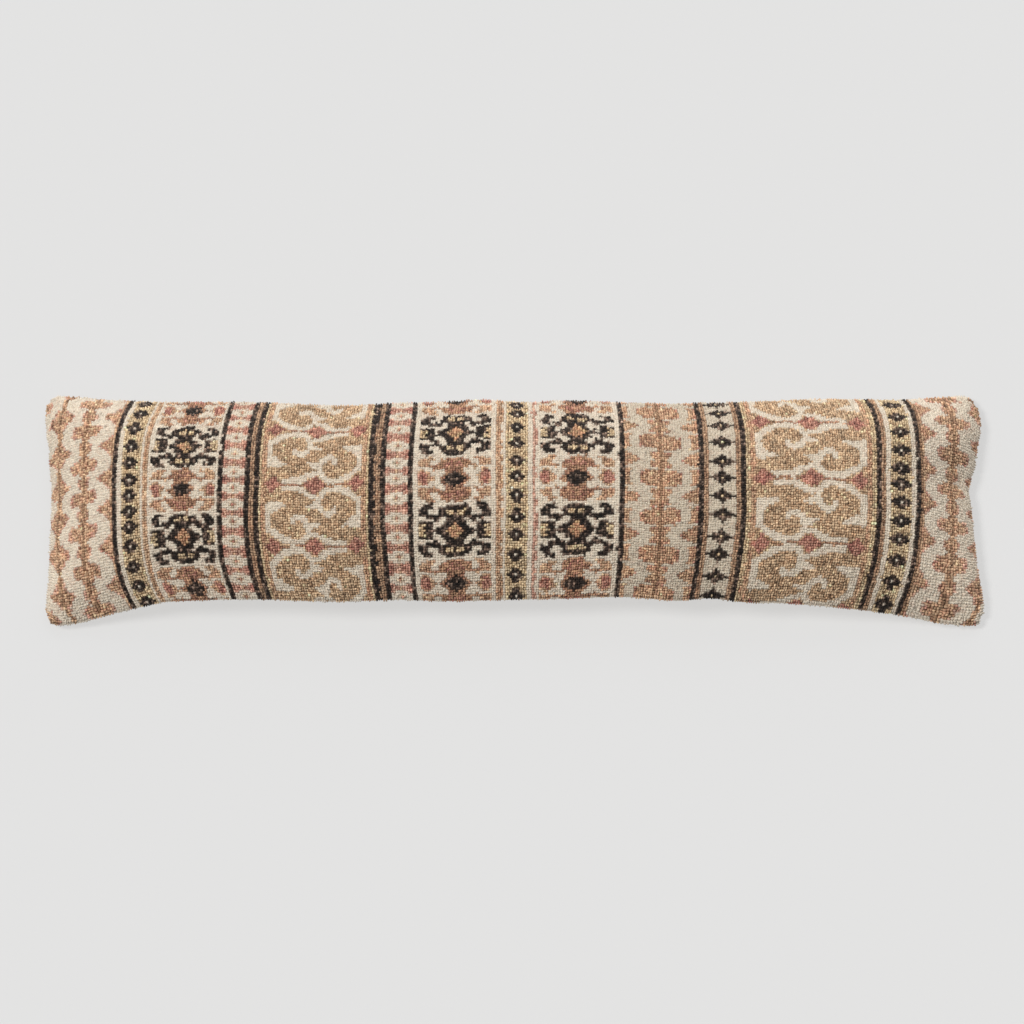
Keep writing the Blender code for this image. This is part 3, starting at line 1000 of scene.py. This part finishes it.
class Recipe:
    """One material: its nodes and its surface."""

    def __init__(self, name):
        self.material = bpy.data.materials.new(name)
        self.material.use_nodes = True
        self.tree = self.material.node_tree
        self.surface = self.tree.nodes["Principled BSDF"]

    def feed(self, socket, value):
        """Set a socket, or link it."""
        if isinstance(value, Link):
            self.tree.links.new(value.socket, socket)
        else:
            socket.default_value = value

    def node(self, kind, settings, values, output=0):
        """Any node: its settings are set first, then the values or links of its sockets."""
        made = self.tree.nodes.new(kind)
        for name, setting in settings.items():
            setattr(made, name, setting)
        for socket, value in values.items():
            self.feed(made.inputs[socket], value)
        return Link(self, made.outputs[output])

    def mix(self, first, second, share):
        """Between two colours, a Mix node's sockets 6 and 7."""
        return self.node("ShaderNodeMix", {"data_type": "RGBA"}, {0: share, 6: first, 7: second}, output=2)

    def times(self, colour, amount):
        """A colour made lighter or darker."""
        return self.node("ShaderNodeVectorMath", {"operation": "SCALE"}, {0: colour, "Scale": amount})

    def place(self, size):
        """Places on the piece, counted in steps of that size in metres along each axis."""
        here = self.node("ShaderNodeTexCoord", {}, {}, output="Object")
        return self.node("ShaderNodeMapping", {"vector_type": "TEXTURE"}, {"Vector": here, "Scale": size})

    def noise(self, size, detail):
        """Soft random unevenness around 0.5, in patches of that size in metres along each axis."""
        values = {"Vector": self.place(size), "Scale": 1.0, "Detail": detail}
        return self.node("ShaderNodeTexNoise", {}, values)

    def finish(self, values, bump=None, depth=0.0):
        """Set the surface's sockets, and its fine relief of that depth in metres."""
        for socket, value in values.items():
            self.feed(self.surface.inputs[socket], value)
        if bump is not None:
            normal = self.node("ShaderNodeBump", {}, {"Height": bump, "Distance": depth, "Strength": 1.0})
            self.feed(self.surface.inputs["Normal"], normal)
        return self.material


FIBRE_SIZE = (0.0005, 0.0011, 0.0007)
STRAND_SIZE = (0.0011, 0.0011, 0.0011)
DARKEST_FIBRE = 0.74  # share of a loop's colour that its darkest fibres keep
FIBRE_SHADE = 0.34  # how much of it varies from fibre to fibre
STRAND_SHADE = 0.18  # and from strand to strand
STRAND_RELIEF = 0.6  # how high the strands stand, next to the fibres
PILE_RELIEF = 0.0004


def wool_pile():
    """Spun wool: each loop's own colour and painted shade, with the shade of its fibres."""
    recipe = Recipe("looped wool")
    wool = recipe.node("ShaderNodeVertexColor", {"layer_name": "wool"}, {})
    fibres = recipe.noise(FIBRE_SIZE, detail=3.0)
    strands = recipe.noise(STRAND_SIZE, detail=1.0)
    colour = recipe.times(wool, DARKEST_FIBRE + fibres * FIBRE_SHADE + strands * STRAND_SHADE)
    values = {
        "Base Color": colour,
        "Roughness": 0.92,
        "Specular IOR Level": 0.18,
        "Sheen Weight": 0.12,
        "Sheen Roughness": 0.6,
    }
    return recipe.finish(values, bump=fibres + strands * STRAND_RELIEF, depth=PILE_RELIEF)


# The back's darker colour is painted shade between the weave's threads, and away from the slubs the yarn's
# own darker tone.
BACK_COLOUR = (0.66, 0.57, 0.42, 1.0)
BACK_SHADE_AND_TONE = (0.50, 0.42, 0.30, 1.0)
WEAVE_SIZE = (0.0011, 0.0011, 0.0011)
SLUB_SIZE = (0.012, 0.004, 0.004)  # thick places in the yarn, which run along it
WEAVE_SHADE = 0.6  # how much the weave decides between the back's two colours: painted shade between its threads
SLUB_SHADE = 0.5  # and how much its slubs do
WEAVE_RELIEF = 0.0003


def plain_back():
    """Undyed plain weave, with painted shade between its threads."""
    recipe = Recipe("undyed plain weave")
    yarns = {"Vector": recipe.place(WEAVE_SIZE), "Scale": 0.5, "Distortion": 0.6}
    warp = recipe.node("ShaderNodeTexWave", {"bands_direction": "X"}, yarns)
    weft = recipe.node("ShaderNodeTexWave", {"bands_direction": "Y"}, yarns)
    slubs = recipe.noise(SLUB_SIZE, detail=2.0)
    over = recipe.node("ShaderNodeMath", {"operation": "MAXIMUM"}, {0: warp, 1: weft})
    colour = recipe.mix(BACK_SHADE_AND_TONE, BACK_COLOUR, over * WEAVE_SHADE + slubs * SLUB_SHADE)
    values = {"Base Color": colour, "Roughness": 0.9, "Specular IOR Level": 0.2, "Sheen Weight": 0.1}
    return recipe.finish(values, bump=over, depth=WEAVE_RELIEF)


FLOOR_COLOUR = (0.25, 0.25, 0.25, 1.0)
FLOOR_GLOW = 0.487  # the floor's own light, which keeps the shadow on it faint


def pale_floor():
    """Plain matt floor."""
    recipe = Recipe("pale floor")
    values = {
        "Base Color": FLOOR_COLOUR,
        "Roughness": 1.0,
        "Specular IOR Level": 0.0,
        "Emission Color": (1.0, 1.0, 1.0, 1.0),
        "Emission Strength": FLOOR_GLOW,
    }
    return recipe.finish(values)


# Surroundings

def make_camera():
    """The photograph's view."""
    lens = bpy.data.cameras.new("camera")
    lens.sensor_width = SENSOR * MILLIMETRES
    lens.lens = SENSOR * MILLIMETRES * CAMERA_DISTANCE / (PIXEL * PHOTO_SIZE)
    camera = bpy.data.objects.new("camera", lens)
    bpy.context.collection.objects.link(camera)
    right = (PHOTO_SIZE / 2 - PILLOW_PIXEL[0]) * PIXEL
    up = (PILLOW_PIXEL[1] - PHOTO_SIZE / 2) * PIXEL
    toward = CAMERA_DISTANCE + VIEW_HEIGHT * cos(TILT)
    camera.location = (right, up * cos(TILT) - toward * sin(TILT), up * sin(TILT) + toward * cos(TILT))
    camera.rotation_euler = (TILT, 0.0, 0.0)
    bpy.context.scene.camera = camera


def make_floor():
    """A pale floor that fills the view."""
    reach = 8.0  # from its middle to each side
    points = np.array([(-reach, -reach, 0), (reach, -reach, 0), (reach, reach, 0), (-reach, reach, 0)])
    mesh = new_mesh("floor", points, np.array([[0, 1, 2, 3]]))
    mesh.materials.append(pale_floor())
    floor = bpy.data.objects.new("floor", mesh)
    bpy.context.collection.objects.link(floor)


LAMP_COLOUR = (1.0, 0.985, 0.96)
ROOM_COLOUR = (0.98, 0.99, 1.0, 1.0)
ROOM_STRENGTH = 0.36


def add_sun(name, energy, angle, tilt):
    """A far light of that strength: angle is how wide it looks, tilt turns it from straight down."""
    sun = bpy.data.lights.new(name, "SUN")
    sun.energy = energy
    sun.angle = radians(angle)
    sun.color = LAMP_COLOUR
    lamp = bpy.data.objects.new(name, sun)
    lamp.rotation_euler = (radians(tilt[0]), radians(tilt[1]), 0.0)
    bpy.context.collection.objects.link(lamp)
    return sun


def make_light():
    """Soft light from the left, a wider one from beyond the pillow without a shadow, and a pale room."""
    add_sun("window", energy=1.8, angle=20, tilt=(0, -35))
    add_sun("reflector", energy=2.2, angle=60, tilt=(-62, 22)).use_shadow = False
    world = bpy.data.worlds.new("room")
    world.use_nodes = True
    room = world.node_tree.nodes["Background"]
    room.inputs["Color"].default_value = ROOM_COLOUR
    room.inputs["Strength"].default_value = ROOM_STRENGTH
    bpy.context.scene.world = world
    bpy.context.scene.view_settings.view_transform = "Standard"


make_camera()
make_floor()
make_light()
make_cover(plain_back())
make_pile(wool_pile())
